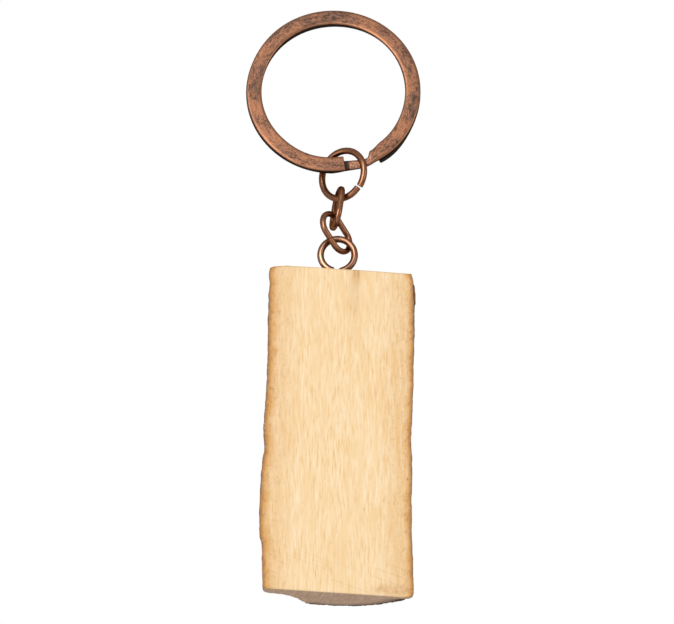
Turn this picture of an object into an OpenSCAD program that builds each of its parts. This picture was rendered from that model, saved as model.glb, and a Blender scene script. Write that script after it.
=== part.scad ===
// Keychain: split ring, jump ring, two oval links, screw eye and a bark-backed wooden slab.
// It hangs from the top inside of the split ring, which is the origin; the flat wooden face
// looks along -Y and +X is to the right of someone facing it. All sizes are in millimetres.

/* [Split ring] */
// Outer diameter of the split ring
ring_outer_d = 30; // [29:0.5:32]
// Width of the flat wire, measured in the plane of the ring
ring_wire_w = 2.65; // [2.4:0.05:2.7]
// Thickness of one turn of the flat wire
ring_wire_t = 0.83; // [0.83:0.01:0.86]
// Rounding of the long edges of the flat wire
ring_edge_r = 0.4; // [0.3:0.01:0.41]
// Width of the narrow crossover between the two turns
ring_neck_w = 1.45; // [1.2:0.05:1.6]
// Thickness of the narrow crossover
ring_neck_t = 0.74; // [0.6:0.01:0.76]

/* [Jump ring] */
// Wire diameter of the jump ring
jump_wire_d = 1.15; // [1:0.01:1.17]
// Mean diameter of the jump ring, wire centre to wire centre
jump_mean_d = 8.5; // [8.4:0.05:8.7]
// Opening between the two cut ends
jump_gap = 0.4; // [0.1:0.01:0.5]
// How far each half of the ring is bent out of the common plane, in degrees
jump_twist = 1.1; // [0.2:0.1:2]

/* [Chain links] */
// Thickness of the link wire in the plane of the link
link_wire_w = 0.95; // [0.85:0.01:0.98]
// Thickness of the link wire across the plane of the link
link_wire_t = 1.07; // [1:0.01:1.1]
// Overall length of an oval link
link_length = 8.07; // [8:0.01:8.1]
// Overall width of an oval link
link_width = 5.43; // [5.4:0.01:5.5]
// Width of the butt joint in the link wire
link_seam = 0.1; // [0.05:0.01:0.3]

/* [Screw eye] */
// Wire diameter of the screw eye
eye_wire_d = 1.15; // [1:0.01:1.17]
// Mean diameter of the eye, wire centre to wire centre
eye_mean_d = 5.76; // [5.7:0.01:5.9]
// Core diameter of the threaded shank
thread_core_d = 1.0; // [0.9:0.01:1.1]
// Outside diameter of the thread
thread_outer_d = 1.5; // [1.3:0.01:1.6]
// Distance from one thread ridge to the next
thread_pitch = 0.65; // [0.6:0.01:0.8]
// Number of thread ridges
thread_turns = 11; // [8:1:13]

/* [Wooden fob] */
// Greatest thickness of the slab, bark included
fob_depth = 8.4; // [8:0.1:9]
// Radius of the round bark side
bark_outer_r = 16.2; // [16:0.1:17]
// Thickness of the bark on the back
bark_t = 0.8; // [0.5:0.1:1.2]
// Thickness of the blunt rim where the front face meets the live edges
fob_rim_t = 0.7; // [0.5:0.05:0.9]
// Thickness of the inner bark left on the live edges
remnant_t = 0.2; // [0.1:0.05:0.3]

/* [Hidden] */
$fn = 96;

// Split ring
ring_outer_r = ring_outer_d / 2;
ring_inner_r = ring_outer_r - ring_wire_w;
ring_at = [-0.65, 0, -ring_inner_r];
ring_slot = 0.04;
front_end_angle = 278;
front_start_angle = -60;
back_end_angle = -82;
back_start_angle = -418;
neck_mid_angle = (back_end_angle + front_start_angle) / 2;
neck_half_angle = 13;
neck_tilt = 8.8;
// How far the crossover's outer edge lies inside that of the two turns
neck_inset = 0.15;
neck_mid_r = ring_outer_r - neck_inset - ring_neck_w / 2;

// Rest pose of the hanging pieces: the place of each centre from that of the piece above it,
// and its pitch about X, lean about Y and turn about Z. The jump ring's centre is jump_drop
// below the inner edge of the split ring
jump_off_centre = 1.65;
jump_drop = 3.1;
jump_at = ring_at + [jump_off_centre, 0, -ring_inner_r - jump_drop];
jump_turn = [3, -2.5, -35];
upper_at = jump_at + [-0.98, 0.54, -5.95];
upper_turn = [-7, 8, -76.5];
lower_at = upper_at + [-0.14, -1.3, -4.94];
lower_turn = [26, -36, 40];
eye_at = lower_at + [0.22, 0.76, -3.75];

// Jump ring
jump_gap_angle = -42;
jump_half_gap = asin(jump_gap / jump_mean_d);
// Where two stretches of wire meet, one is thinner by this much and reaches into the other
wire_step = 0.02;
half_overlap = 2;

// Oval links
link_mean_r = (link_width - link_wire_w) / 2;
link_straight = link_length - link_width;

// Screw eye: an arc that starts just right of the bottom, and an elbow that brings the wire
// back over the shank's axis
eye_mean_r = eye_mean_d / 2;
eye_start = 20;
eye_free_end = 257;
elbow_r = eye_mean_r * sin(eye_start) / (1 - sin(eye_start));
elbow_drop = (eye_mean_r + elbow_r) * cos(eye_start);
shank_plain = 0.8;
shank_overlap = 0.06;
shank_point = 1.2;
thread_length = thread_pitch * thread_turns;

// Wooden fob: the sawn outline seen from the front, from the top middle, where the shank goes in
eye_height = 3.705;
fob_at = [eye_at[0], 0, eye_at[2] - eye_height];
fob_front_y = -3.2;
fob_axis_x = -1.9;
fob_axis_y = fob_front_y + fob_depth - bark_outer_r;
wood_outer_r = bark_outer_r - bark_t;
bark_from_x = -5.1;
left_edge = [
    [-11.3, 0.2], [-11.5, -0.6], [-11.45, -2.8], [-11.6, -10.2], [-11.65, -16.5],
    [-11.8, -21.7], [-12.1, -25.8], [-12.15, -28.9], [-11.95, -31.3], [-12.3, -33.2],
    [-12.55, -35.9], [-12.7, -40.3], [-12.8, -43.2], [-12.75, -46.5], [-12.45, -47.3],
    [-12.35, -50.4], [-12.3, -55.2]
];
bottom_edge = [[-12.1, -55.6], [11.7, -57.2], [12.3, -57]];
right_edge = [
    [12.4, -56.4], [12.3, -51.4], [12.15, -45.3], [12.1, -40.3], [12.3, -36.9],
    [12.25, -32.7], [12.15, -30.1], [12.35, -26.8], [12.6, -20.6], [12.75, -12.3],
    [12.8, -6], [12.7, -2.3], [12.35, -0.9]
];
top_edge = [[5.1, -0.3], [0, 0], [-3.6, 0.3], [-9.8, 0.6], [-10.8, 0.5]];
// Cross-section of the piece that broke away from the left of the back, open to the left
split_off = [
    [-16, -1.1], [-11.7, -0.8], [-8.5, -0.2], [-7.3, 0.8], [-6, 2.3],
    [-5.7, 3.4], [-5.1, 4.4], [-5.1, 8], [-16, 8]
];
pilot_d = thread_core_d + 0.25;
spare_hole = 0.3;
pilot_depth = shank_plain + thread_length + shank_point + spare_hole;
// First and last points of the live edges that still carry a strip of inner bark
left_strips = [[2, 6], [9, 13]];
right_strips = [[9, 11]];
remnant_from_y = fob_front_y + 0.25;
remnant_depth = 1.4;
reach = 40;

// A piece in its rest pose: turned about Z first, then pitched, then leant over
module posed(at, turn) {
    translate(at)
        rotate([0, turn[1], 0])
            rotate([turn[0], 0, 0])
                rotate([0, 0, turn[2]])
                    children();
}

// A rectangle with rounded corners, centred; quarter arcs stay true arcs
module rounded_bar(w, t, r) {
    square([w - 2 * r, t], center = true);
    square([w, t - 2 * r], center = true);
    for (x = [-1, 1], y = [-1, 1])
        translate([x * (w / 2 - r), y * (t / 2 - r)])
            circle(r);
}

// An arc of bar in the XZ plane, from one angle to another, with its section drawn by a child
module upright_arc(mean_r, from_angle, to_angle) {
    rotate([90, 0, 0])
        rotate([0, 0, from_angle])
            rotate_extrude(angle = to_angle - from_angle)
                translate([mean_r, 0])
                    children();
}

// One turn of flat wire; side is -1 for the front turn and 1 for the back turn
module ring_turn(side, from_angle, to_angle) {
    translate([0, side * (ring_wire_t + ring_slot) / 2, 0])
        upright_arc(ring_outer_r - ring_wire_w / 2, from_angle, to_angle)
            rounded_bar(ring_wire_w, ring_wire_t, ring_edge_r);
}

// The crossover: a narrow arc tilted about the radius through its middle, so that it leaves
// the back turn and arrives at the front turn
module ring_neck() {
    rotate([0, -neck_mid_angle, 0])
        rotate([neck_tilt, 0, 0])
            upright_arc(neck_mid_r, -neck_half_angle, neck_half_angle)
                rounded_bar(ring_neck_w, ring_neck_t, ring_neck_t / 2 - 0.01);
}

module split_ring() {
    color([0.55, 0.33, 0.22])
        translate(ring_at) {
            ring_turn(-1, front_start_angle, front_end_angle);
            ring_turn(1, back_start_angle, back_end_angle);
            ring_neck();
        }
}

// Half of the jump ring, bent out of plane about the tangent opposite the gap; its far end
// reaches a little into the other half
module jump_half(side, wire_d) {
    rotate([0, -jump_gap_angle, 0])
        translate([-jump_mean_d / 2, 0, 0])
            rotate([0, 0, side * jump_twist])
                translate([jump_mean_d / 2, 0, 0])
                    mirror([0, 0, side > 0 ? 0 : 1])
                        upright_arc(jump_mean_d / 2, jump_half_gap, 180 + half_overlap)
                            circle(wire_d / 2);
}

module jump_ring() {
    color([0.5, 0.29, 0.19])
        posed(jump_at, jump_turn) {
            jump_half(1, jump_wire_d);
            jump_half(-1, jump_wire_d - wire_step);
        }
}

// Flattened wire: round edges, flat sides
module link_section() {
    flat = link_wire_t - link_wire_w;
    square([link_wire_w, flat], center = true);
    for (y = [-1, 1])
        translate([0, y * flat / 2])
            circle(link_wire_w / 2);
}

// An oval link in the XZ plane, long along Z, with the butt joint in its left side
module oval_link() {
    difference() {
        union() {
            for (end = [0, 1])
                mirror([0, 0, end])
                    translate([0, 0, link_straight / 2])
                        upright_arc(link_mean_r, 0, 180)
                            link_section();
            for (side = [-1, 1])
                translate([side * link_mean_r, 0, -link_straight / 2])
                    linear_extrude(link_straight)
                        link_section();
        }
        translate([-link_mean_r, 0, 0])
            cube([2 * link_wire_w, 2 * link_wire_t, link_seam], center = true);
    }
}

module upper_link() {
    color([0.46, 0.28, 0.2])
        posed(upper_at, upper_turn)
            oval_link();
}

module lower_link() {
    color([0.46, 0.28, 0.2])
        posed(lower_at, lower_turn)
            oval_link();
}

// The threaded part of the shank with its point, hanging down from the origin
module eye_thread() {
    ridge = (thread_outer_d - thread_core_d) / 2;
    core_r = thread_core_d / 2;
    bottom = -thread_length - shank_point;
    rotate_extrude()
        polygon(concat(
            [[0, bottom], [0, shank_overlap], [core_r, shank_overlap]],
            [for (i = [0 : thread_turns - 1], p = [0 : 2])
                [p == 1 ? core_r + ridge : core_r, -thread_pitch * (i + [0.05, 0.4, 0.75][p])]],
            [[core_r, -thread_length], [0.05, bottom]]));
}

module screw_eye() {
    color([0.58, 0.36, 0.25])
        translate(eye_at) {
            upright_arc(eye_mean_r, eye_start - 90, eye_free_end)
                circle(eye_wire_d / 2);
            translate([elbow_r, 0, -elbow_drop])
                upright_arc(elbow_r, 90 + eye_start - half_overlap, 180)
                    circle((eye_wire_d - wire_step) / 2);
            translate([0, 0, -elbow_drop - shank_plain])
                cylinder(h = shank_plain + shank_overlap, d = eye_wire_d - 2 * wire_step);
            translate([0, 0, -elbow_drop - shank_plain])
                eye_thread();
        }
}

// The sawn outline, extruded right through from front to back
module fob_outline() {
    translate(fob_at)
        rotate([90, 0, 0])
            translate([0, 0, -reach / 2])
                linear_extrude(reach)
                    polygon(concat(left_edge, bottom_edge, right_edge, top_edge));
}

// A prism along the grain, whose cross-section is drawn by the children in X and Y
module along_grain() {
    translate([0, 0, fob_at[2] - 1.8 * reach])
        linear_extrude(2 * reach)
            children();
}

// The half disc behind the front face
module behind_front(r) {
    intersection() {
        translate([fob_axis_x, fob_axis_y])
            circle(r);
        translate([-reach / 2, fob_front_y])
            square([reach, reach]);
    }
}

module wood_fob() {
    color([0.89, 0.75, 0.54])
        difference() {
            intersection() {
                fob_outline();
                along_grain()
                    difference() {
                        union() {
                            behind_front(wood_outer_r);
                            translate([-reach / 2, fob_front_y])
                                square([reach, fob_rim_t]);
                        }
                        polygon(split_off);
                    }
            }
            translate([fob_at[0], 0, fob_at[2] - pilot_depth])
                cylinder(h = pilot_depth + 2, d = pilot_d);
        }
}

module bark_back() {
    color([0.3, 0.2, 0.14])
        intersection() {
            fob_outline();
            along_grain()
                difference() {
                    behind_front(bark_outer_r);
                    translate([fob_axis_x, fob_axis_y])
                        circle(wood_outer_r);
                    translate([-reach / 2, fob_front_y])
                        square([reach, fob_rim_t]);
                    translate([bark_from_x - reach, -reach / 2])
                        square([reach, reach]);
                }
        }
}

// A thin strip outside the outline between two points of an edge; side is -1 left, 1 right
module edge_strip(edge, from_point, to_point, side) {
    run = [for (i = [from_point : to_point]) edge[i]];
    skin = [for (i = [len(run) - 2 : -1 : 1]) run[i] + [side * remnant_t, 0]];
    translate([fob_at[0], remnant_from_y, fob_at[2]])
        rotate([90, 0, 0])
            translate([0, 0, -remnant_depth])
                linear_extrude(remnant_depth)
                    polygon(concat(run, skin));
}

module bark_edge_remnants() {
    color([0.36, 0.22, 0.13]) {
        for (s = left_strips)
            edge_strip(left_edge, s[0], s[1], -1);
        for (s = right_strips)
            edge_strip(right_edge, s[0], s[1], 1);
    }
}

split_ring();
jump_ring();
upper_link();
lower_link();
screw_eye();
wood_fob();
bark_back();
bark_edge_remnants();
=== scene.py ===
"""Looks of the keychain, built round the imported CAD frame.

Every piece is a swept wire or a lofted slab whose place and size come from the CAD nodes. Lengths in
this script are in millimetres until a mesh is made, and angles are in degrees unless a name says so.
Texture scales are per metre, and the studio is in metres.
"""

import math

import bpy
import numpy as np
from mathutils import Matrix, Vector
from mathutils import noise


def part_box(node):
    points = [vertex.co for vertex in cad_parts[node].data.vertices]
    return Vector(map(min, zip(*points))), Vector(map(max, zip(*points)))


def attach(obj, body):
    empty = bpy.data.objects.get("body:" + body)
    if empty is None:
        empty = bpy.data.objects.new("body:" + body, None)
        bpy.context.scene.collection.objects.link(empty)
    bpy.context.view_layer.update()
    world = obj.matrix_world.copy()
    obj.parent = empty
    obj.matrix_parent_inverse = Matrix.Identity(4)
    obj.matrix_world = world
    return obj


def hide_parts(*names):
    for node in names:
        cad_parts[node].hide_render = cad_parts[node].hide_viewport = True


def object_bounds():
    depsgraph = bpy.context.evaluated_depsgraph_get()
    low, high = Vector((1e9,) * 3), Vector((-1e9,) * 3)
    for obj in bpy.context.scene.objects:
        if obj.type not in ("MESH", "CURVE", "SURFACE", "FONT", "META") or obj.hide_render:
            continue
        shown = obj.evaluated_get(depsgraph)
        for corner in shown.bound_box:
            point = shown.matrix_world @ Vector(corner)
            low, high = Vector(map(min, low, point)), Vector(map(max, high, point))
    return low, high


MM = 0.001
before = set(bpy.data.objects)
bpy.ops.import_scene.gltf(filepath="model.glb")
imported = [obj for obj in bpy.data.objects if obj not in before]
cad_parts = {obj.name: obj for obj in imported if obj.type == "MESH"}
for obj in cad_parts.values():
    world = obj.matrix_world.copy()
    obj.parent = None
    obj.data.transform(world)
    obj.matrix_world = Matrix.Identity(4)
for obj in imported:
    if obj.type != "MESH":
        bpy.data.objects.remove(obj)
cad_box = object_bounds()


# ---------------------------------------------------------------- places taken from the CAD nodes


def node_points(node):
    """The CAD node's vertices in millimetres."""
    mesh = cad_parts[node].data
    co = np.empty(len(mesh.vertices) * 3)
    mesh.vertices.foreach_get("co", co)
    return co.reshape(-1, 3) / MM


def node_box(node):
    """Lowest and highest corner of a CAD node in millimetres."""
    low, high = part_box(node)
    return np.array(low) / MM, np.array(high) / MM


def ring_centre(node):
    """Centre of a wire ring fitted to its vertices, so that the gap in it doesn't shift the centre."""
    points = node_points(node)
    terms = np.column_stack([2 * points, np.ones(len(points))])
    return np.linalg.lstsq(terms, (points ** 2).sum(axis=1), rcond=None)[0][:3]


def box_centre(node):
    low, high = node_box(node)
    return (low + high) / 2


def principal_axes(node, middle):
    """Long, wide and flat directions of a link or ring about its centre, weighted by area."""
    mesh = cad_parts[node].data
    centres = np.array([p.center for p in mesh.polygons]) / MM
    areas = np.array([p.area for p in mesh.polygons])
    offsets = centres - middle
    spread = (offsets * areas[:, None]).T @ offsets
    values, vectors = np.linalg.eigh(spread)
    order = np.argsort(values)[::-1]
    return [vectors[:, i] for i in order]


# ---------------------------------------------------------------- small helpers


def unit(v):
    v = np.asarray(v, float)
    return v / np.linalg.norm(v)


def smooth(x, start, end):
    """0 before start and 1 after end, with a soft passage between."""
    t = np.clip((np.asarray(x, float) - start) / (end - start), 0, 1)
    return t * t * (3 - 2 * t)


def fbm(point, octaves=4):
    """Layered noise between about -1 and 1 at a point given in its own units."""
    return noise.fractal(Vector(point), 1.0, 2.0, octaves, noise_basis="PERLIN_ORIGINAL")


def grid_faces(rows, columns, start=0):
    """Quads of a grid of vertices whose columns close on themselves."""
    faces = []
    for i in range(rows - 1):
        row, above = start + i * columns, start + (i + 1) * columns
        for j in range(columns):
            k = (j + 1) % columns
            faces.append((row + j, row + k, above + k, above + j))
    return faces


def closed_tube(rows, columns, start):
    """Faces of a tube of vertices with one flat face over each end."""
    first = [start + j for j in range(columns)]
    last = [vertex + (rows - 1) * columns for vertex in first]
    return grid_faces(rows, columns, start) + [tuple(reversed(first)), tuple(last)]


def flipped(faces):
    """The same faces, turned to face the other way."""
    return [tuple(reversed(face)) for face in faces]


def make_piece(name, points, faces, body, nodes, materials, attributes=None, face_slots=None):
    """A smooth-shaded mesh piece from points in millimetres, riding on a body in place of CAD nodes."""
    mesh = bpy.data.meshes.new(name)
    mesh.from_pydata([tuple(p) for p in np.asarray(points) * MM], [], faces)
    mesh.update()
    for key, values in (attributes or {}).items():
        layer = mesh.attributes.new(key, "FLOAT", "POINT")
        layer.data.foreach_set("value", np.asarray(values, np.float32))
    for material in materials:
        mesh.materials.append(material)
    if face_slots is not None:
        mesh.polygons.foreach_set("material_index", np.asarray(face_slots, np.int32))
    mesh.polygons.foreach_set("use_smooth", [True] * len(mesh.polygons))
    piece = bpy.data.objects.new(name, mesh)
    bpy.context.scene.collection.objects.link(piece)
    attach(piece, body)
    if nodes:
        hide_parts(*nodes)


# ---------------------------------------------------------------- node materials


class Nodes:
    """Short way to add and join shader nodes of one material."""

    def __init__(self, name):
        self.material = bpy.data.materials.new(name)
        self.material.use_nodes = True
        self.tree = self.material.node_tree
        self.shader = self.tree.nodes["Principled BSDF"]
        self.place = self.add("ShaderNodeTexCoord").outputs["Object"]

    def add(self, kind, **settings):
        node = self.tree.nodes.new(kind)
        for key, value in settings.items():
            setattr(node, key, value)
        return node

    def join(self, source, target):
        self.tree.links.new(source, target)

    def attribute(self, name):
        return self.add("ShaderNodeAttribute", attribute_name=name).outputs["Fac"]

    def stretched(self, scale, turn=(0, 0, 0)):
        """Object coordinates turned first and then scaled, per metre."""
        node = self.add("ShaderNodeMapping", vector_type="TEXTURE")
        node.inputs["Rotation"].default_value = [math.radians(a) for a in turn]
        node.inputs["Scale"].default_value = [1 / s for s in scale]
        self.join(self.place, node.inputs["Vector"])
        return node.outputs["Vector"]

    def noise(self, scale, detail=4.0, rough=0.5, place=None, distortion=0.0):
        node = self.add("ShaderNodeTexNoise")
        node.inputs["Scale"].default_value = scale
        node.inputs["Detail"].default_value = detail
        node.inputs["Roughness"].default_value = rough
        node.inputs["Distortion"].default_value = distortion
        self.join(place or self.place, node.inputs["Vector"])
        return node.outputs["Fac"]

    def specks(self, place, radius, share):
        """Soft dots, one in each cell of a grid for the given share of the cells."""
        node = self.add("ShaderNodeTexVoronoi")
        node.inputs["Scale"].default_value = 1.0
        self.join(place, node.inputs["Vector"])
        pick = self.add("ShaderNodeSeparateColor")
        self.join(node.outputs["Color"], pick.inputs["Color"])
        dot = self.ramp(node.outputs["Distance"], [(radius * 0.5, 1.0), (radius, 0.0)])
        return self.math("MULTIPLY", dot, self.math("LESS_THAN", pick.outputs["Red"], share))

    def along_wire(self, squeeze):
        """Coordinates that run along a wire, squeezed so that what is painted there is drawn out."""
        node = self.add("ShaderNodeCombineXYZ")
        self.join(self.math("MULTIPLY", self.attribute("run"), squeeze), node.inputs["X"])
        for axis, name in (("Y", "across"), ("Z", "through")):
            self.join(self.attribute(name), node.inputs[axis])
        return node.outputs["Vector"]

    def ramp(self, value, stops):
        """A colour ramp; stops are (position, colour or grey level)."""
        node = self.add("ShaderNodeValToRGB")
        elements = node.color_ramp.elements
        while len(elements) < len(stops):
            elements.new(0.5)
        for element, (position, colour) in zip(elements, stops):
            element.position = position
            element.color = (*([colour] * 3 if np.isscalar(colour) else colour), 1)
        self.join(value, node.inputs["Fac"])
        return node.outputs["Color"]

    def math(self, operation, a, b):
        node = self.add("ShaderNodeMath", operation=operation, use_clamp=False)
        for socket, value in zip(node.inputs, (a, b)):
            if isinstance(value, (int, float)):
                socket.default_value = value
            else:
                self.join(value, socket)
        return node.outputs["Value"]

    def mix(self, factor, a, b, blend="MIX"):
        """Mixes two colours; each input is a socket, a colour or, for the factor, a number."""
        node = self.add("ShaderNodeMix", data_type="RGBA", blend_type=blend)
        for socket, value in ((node.inputs[0], factor), (node.inputs[6], a), (node.inputs[7], b)):
            if isinstance(value, (int, float)):
                socket.default_value = value
            elif isinstance(value, tuple):
                socket.default_value = (*value, 1)
            else:
                self.join(value, socket)
        return node.outputs[2]

    def bump(self, height, strength, distance_mm):
        node = self.add("ShaderNodeBump")
        node.inputs["Strength"].default_value = strength
        node.inputs["Distance"].default_value = distance_mm * MM
        self.join(height, node.inputs["Height"])
        return node.outputs["Normal"]

    def finish(self, colour=None, roughness=None, normal=None, **constants):
        sockets = {"Base Color": colour, "Roughness": roughness, "Normal": normal}
        for key, source in sockets.items():
            if source is not None:
                self.join(source, self.shader.inputs[key])
        for key, value in constants.items():
            self.shader.inputs[key.replace("_", " ")].default_value = value
        return self.material


# Bright copper of rubbed edges, also painted as sheen on the fronts of the wires.
COPPER_BRIGHT = (0.610, 0.285, 0.150)
# Pale pinkish copper painted as the screw eye's sheen.
COPPER_PALE = (0.590, 0.340, 0.225)
COPPER_BROWN = (0.250, 0.110, 0.062)
COPPER_ORANGE = (0.450, 0.180, 0.072)
PATINA_DARK = (0.060, 0.039, 0.033)
PATINA_GREY = (0.135, 0.088, 0.068)
# Near-black brown, painted as shade where the patina and painted shade run deepest: on the ring's rims,
# between its turns and in the recess by its cut end.
RECESS_SHADE_COLOUR = (0.034, 0.022, 0.018)
EDGE_TINT = (0.42, 0.32, 0.27, 1.0)


def antique_copper(name, patina_low, patina_high, rough_low, rough_high, speckle, relief, bright):
    """Antique copper plating: dark patina in patches and hollows, rubbed bright along the edges. The same
    marks also carry painted shade on the ring's rims, its neck, the recess by its cut end and the back of
    the eye, and a painted sheen on the fronts of the wires, so this colour stands in for part of the
    light.
    """
    n = Nodes(name)
    # The wear mark is rubbed wear together with a painted sheen on the fronts of the wires; the patina
    # mark is patina together with painted shade.
    wear_and_sheen = n.attribute("wear_and_sheen")
    shade = n.attribute("patina_and_shade")
    wire = n.along_wire(0.45)
    broad = n.noise(520, 3, 0.55, wire)
    streak = n.noise(1900, 4, 0.65, wire, distortion=0.5)
    fine = n.noise(4200, 3, 0.7, wire)
    patches = n.math("ADD", n.math("MULTIPLY", broad, 0.50), n.math("MULTIPLY", streak, 0.50))
    patches = n.math("ADD", patches, n.math("MULTIPLY", n.math("SUBTRACT", fine, 0.5), speckle))
    patches = n.math("ADD", patches, n.math("MULTIPLY", shade, 0.22))
    patches = n.math("SUBTRACT", patches, n.math("MULTIPLY", wear_and_sheen, 0.20))
    dark = n.ramp(patches, [(patina_low, 0.0), (patina_high, 1.0)])
    brown = n.mix(n.ramp(fine, [(0.46, 0.0), (0.70, 0.8)]), COPPER_BROWN, COPPER_ORANGE)
    patina_and_shade = n.ramp(streak, [(0.35, PATINA_GREY), (0.65, PATINA_DARK)])
    colour = n.mix(dark, brown, patina_and_shade)
    # Rubbed wear and painted sheen: the bright copper is laid on where the wear mark is high.
    rubbed_and_sheen = n.math("MULTIPLY", wear_and_sheen, n.ramp(streak, [(0.30, 1.0), (0.75, 0.45)]))
    colour = n.mix(rubbed_and_sheen, colour, bright)
    # Painted shade: near-black brown where the patina mark runs deepest, on the ring's rims, between its
    # turns, in the recess beside its cut end and on its cut faces.
    deep = n.ramp(n.math("MULTIPLY", shade, 0.4), [(0.50, 0.0), (0.80, 0.80)])
    colour = n.mix(deep, colour, RECESS_SHADE_COLOUR)
    rough = n.mix(dark, (rough_low,) * 3, (rough_high,) * 3)
    surface = n.math("ADD", n.math("MULTIPLY", fine, 0.5), n.math("MULTIPLY", streak, 0.5))
    normal = n.bump(surface, relief, 0.03)
    return n.finish(colour, rough, normal, Metallic=1.0, Specular_Tint=EDGE_TINT)


def wood_layers(n):
    """Vertical grain of pale sanded wood: (streaks, pores, broad drift), each from 0 to 1."""
    threads = n.noise(1.0, 5, 0.66, n.stretched((3000, 900, 330)), 0.12)
    bands = n.noise(1.0, 4, 0.62, n.stretched((1050, 400, 90)), 0.2)
    drift = n.noise(1.0, 3, 0.5, n.stretched((150, 120, 60)))
    return threads, bands, drift


def scratches(n, turn, apart_mm, gap_level):
    """Fine parallel lines at an angle to the grain, worn away in places."""
    waves = n.add("ShaderNodeTexWave", wave_type="BANDS", bands_direction="Z")
    waves.inputs["Scale"].default_value = 2 * math.pi / 20
    waves.inputs["Distortion"].default_value = 0.5
    waves.inputs["Detail"].default_value = 1
    waves.inputs["Detail Scale"].default_value = 0.4
    per_metre = 1 / (apart_mm * MM)
    n.join(n.stretched((40, 40, per_metre), (0, turn, 0)), waves.inputs["Vector"])
    gaps = n.noise(1.0, 2, 0.5, n.stretched((110, 110, 420), (0, turn, 0)))
    thin = n.ramp(waves.outputs["Fac"], [(0.975, 0.0), (1.0, 1.0)])
    return n.math("MULTIPLY", thin, n.ramp(gaps, [(gap_level, 0.0), (gap_level + 0.08, 1.0)]))


def pale_wood_front():
    """The sawn and sanded front: fine streaks, tanned towards the live edges, a few scratches."""
    n = Nodes("pale_wood_front")
    threads, bands, drift = wood_layers(n)
    edge = n.attribute("edge_tan")
    rim = n.attribute("edge_rim")
    stain = n.attribute("stain")
    pale = n.ramp(threads, [(0.30, (0.760, 0.440, 0.160)), (0.46, (0.880, 0.635, 0.350)),
                            (0.66, (0.960, 0.765, 0.510))])
    colour = n.mix(n.ramp(bands, [(0.42, 0.0), (0.66, 0.60)]), pale, (0.840, 0.540, 0.235))
    colour = n.mix(n.ramp(drift, [(0.35, 0.0), (0.70, 0.35)]), colour, (0.930, 0.715, 0.450))
    uneven = n.math("MULTIPLY", edge, n.ramp(n.noise(700, 4, 0.6), [(0.25, 0.70), (0.65, 1.0)]))
    colour = n.mix(uneven, colour, (0.650, 0.300, 0.048))
    mottle = n.ramp(n.noise(1.0, 4, 0.65, n.stretched((2300, 2300, 1200))), [(0.52, 0.0), (0.68, 0.75)])
    colour = n.mix(n.math("MULTIPLY", mottle, edge), colour, (0.420, 0.190, 0.060))
    colour = n.mix(stain, colour, (0.540, 0.265, 0.080))
    scored = n.math("MULTIPLY", scratches(n, 20, 1.4, 0.50), n.attribute("sawn"))
    colour = n.mix(n.math("MULTIPLY", scored, 0.32), colour, (0.500, 0.280, 0.130))
    ticks = n.ramp(n.noise(1.0, 2, 0.5, n.stretched((700, 300, 4200))), [(0.60, 0.0), (0.72, 0.6)])
    colour = n.mix(n.math("MULTIPLY", ticks, edge), colour, (0.420, 0.210, 0.080))
    flecks = n.specks(n.stretched((900, 900, 520)), 0.12, 0.060)
    colour = n.mix(n.math("MULTIPLY", flecks, 0.6), colour, (0.480, 0.210, 0.050))
    near_edge = n.specks(n.stretched((1300, 1300, 900)), 0.20, 0.25)
    colour = n.mix(n.math("MULTIPLY", near_edge, edge), colour, (0.330, 0.130, 0.040))
    frayed = n.math("MULTIPLY", rim, n.ramp(n.noise(1500, 4, 0.7), [(0.34, 0.50), (0.58, 1.0)]))
    colour = n.mix(frayed, colour, (0.290, 0.135, 0.060))
    height = n.math("ADD", n.math("MULTIPLY", threads, 0.7), n.math("MULTIPLY", bands, 0.3))
    height = n.math("SUBTRACT", height, n.math("MULTIPLY", scored, 0.5))
    normal = n.bump(height, 0.40, 0.05)
    rough = n.ramp(threads, [(0.3, 0.70), (0.7, 0.58)])
    return n.finish(colour, rough, normal)


END_LIGHT = (0.800, 0.560, 0.390)
END_DARK = (0.520, 0.330, 0.215)


def end_grain():
    """Cross-cut end grain: saw marks across faint growth rings."""
    n = Nodes("end_grain")
    rings = n.add("ShaderNodeTexWave", wave_type="RINGS", rings_direction="Z")
    rings.inputs["Scale"].default_value = 190
    rings.inputs["Distortion"].default_value = 2.2
    rings.inputs["Detail"].default_value = 3
    n.join(n.place, rings.inputs["Vector"])
    saw = n.noise(1.0, 4, 0.65, n.stretched((380, 2600, 500), (0, 0, -79)))
    fine = n.noise(2600, 4, 0.7)
    blend = n.math("ADD", n.math("MULTIPLY", saw, 0.65), n.math("MULTIPLY", fine, 0.35))
    colour = n.mix(n.ramp(blend, [(0.35, 0.0), (0.65, 1.0)]), END_DARK, END_LIGHT)
    shaded = n.ramp(rings.outputs["Fac"], [(0.2, 0.25), (0.8, 0.0)])
    colour = n.mix(shaded, colour, END_DARK)
    colour = n.mix(n.attribute("stain"), colour, (0.150, 0.080, 0.048))
    normal = n.bump(blend, 0.7, 0.12)
    return n.finish(colour, None, normal, Roughness=0.82)


def split_wood():
    """The torn facet at the back left: long fibres, browner than the sanded front."""
    n = Nodes("split_wood")
    fibres = n.noise(1.0, 5, 0.7, n.stretched((2400, 2400, 90)), 0.25)
    bands = n.noise(1.0, 4, 0.6, n.stretched((500, 500, 45)))
    colour = n.ramp(fibres, [(0.30, (0.300, 0.165, 0.080)), (0.50, (0.580, 0.360, 0.190)),
                             (0.72, (0.760, 0.540, 0.320))])
    colour = n.mix(n.ramp(bands, [(0.42, 0.0), (0.68, 0.6)]), colour, (0.360, 0.200, 0.105))
    normal = n.bump(fibres, 0.8, 0.15)
    return n.finish(colour, None, normal, Roughness=0.85)


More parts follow.
